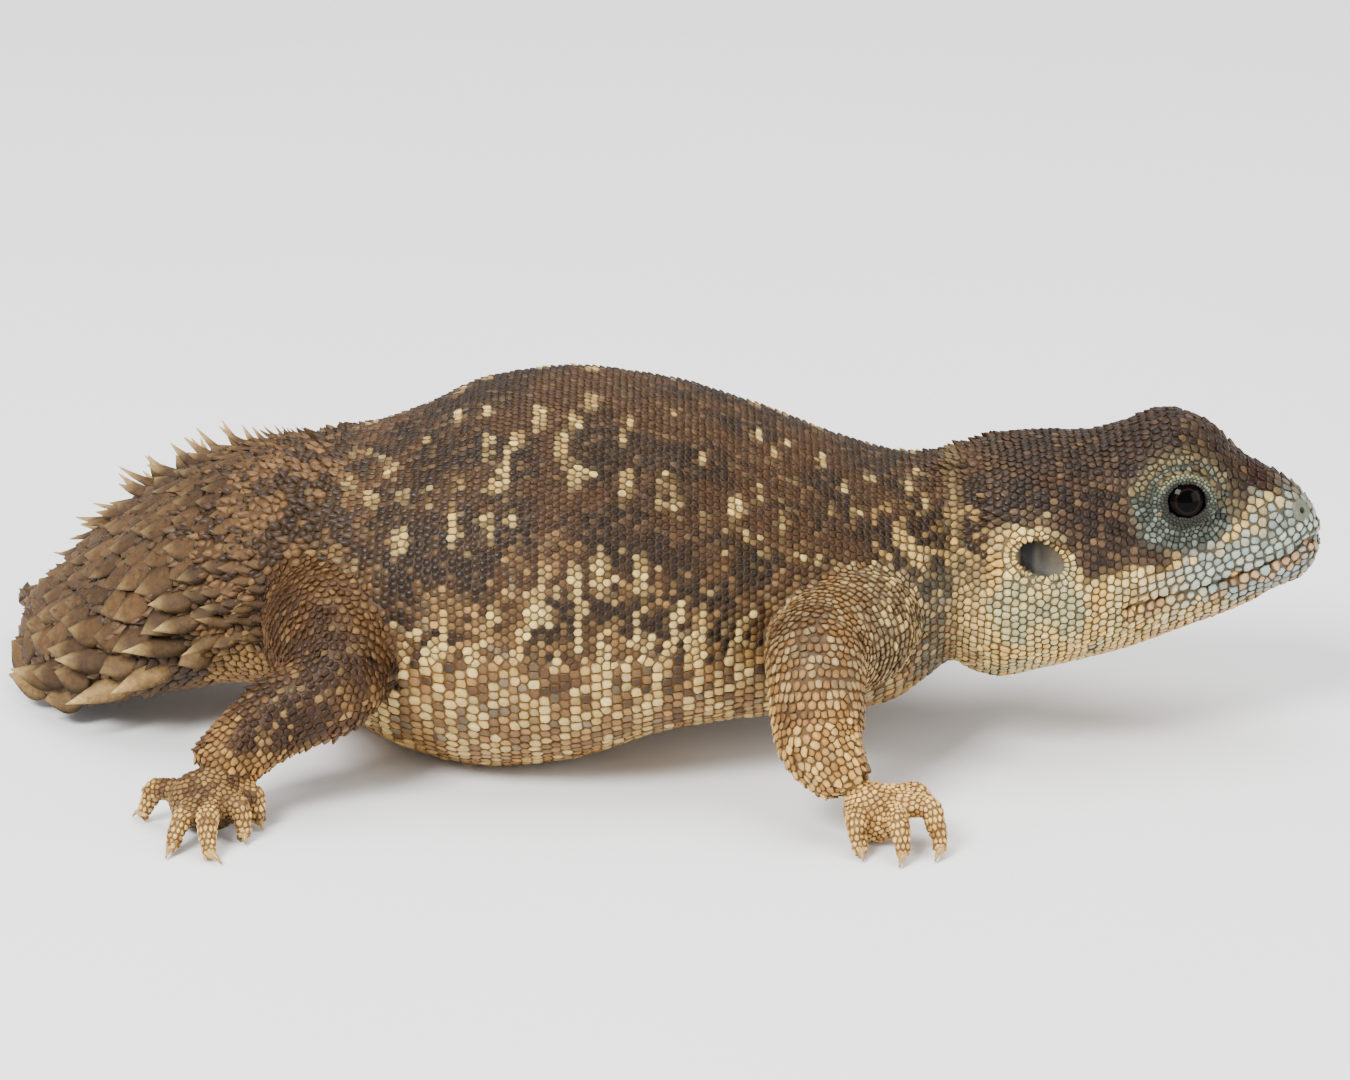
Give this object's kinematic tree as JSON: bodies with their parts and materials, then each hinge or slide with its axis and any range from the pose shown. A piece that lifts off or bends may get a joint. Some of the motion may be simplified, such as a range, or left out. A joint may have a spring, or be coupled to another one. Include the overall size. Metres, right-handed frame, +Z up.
{
  "type": "shield-tailed agama lizard",
  "caption": "Life-size still model of a shield-tailed agama resting on its belly with its head raised and its short, broad, spiny tail turned aside.",
  "frame": {"origin": "middle of the flat under the belly, on the floor the model rests on", "axes": "+X towards the snout, +Y to the animal's left, +Z up"},
  "size_m": [0.1042, 0.0658, 0.0281],
  "materials": {
    "head_scales": "satin",
    "body_scales": "satin",
    "shield_plates": "satin",
    "leg_scales": "satin",
    "eye": "wet"
  },
  "bodies": {
    "root": {"head": "head_scales", "neck": "body_scales", "torso": "body_scales", "tail_base": "body_scales", "tail_shield": "shield_plates", "tail_tip": "shield_plates", "eye_right": "eye", "eye_left": "eye", "foreleg_upper_right": "leg_scales", "foreleg_lower_right": "leg_scales", "forefoot_right": "leg_scales", "foreleg_upper_left": "leg_scales", "foreleg_lower_left": "leg_scales", "forefoot_left": "leg_scales", "hindleg_upper_right": "leg_scales", "hindleg_lower_right": "leg_scales", "hindfoot_right": "leg_scales", "hindleg_upper_left": "leg_scales", "hindleg_lower_left": "leg_scales", "hindfoot_left": "leg_scales"}
  },
  "joints": []
}
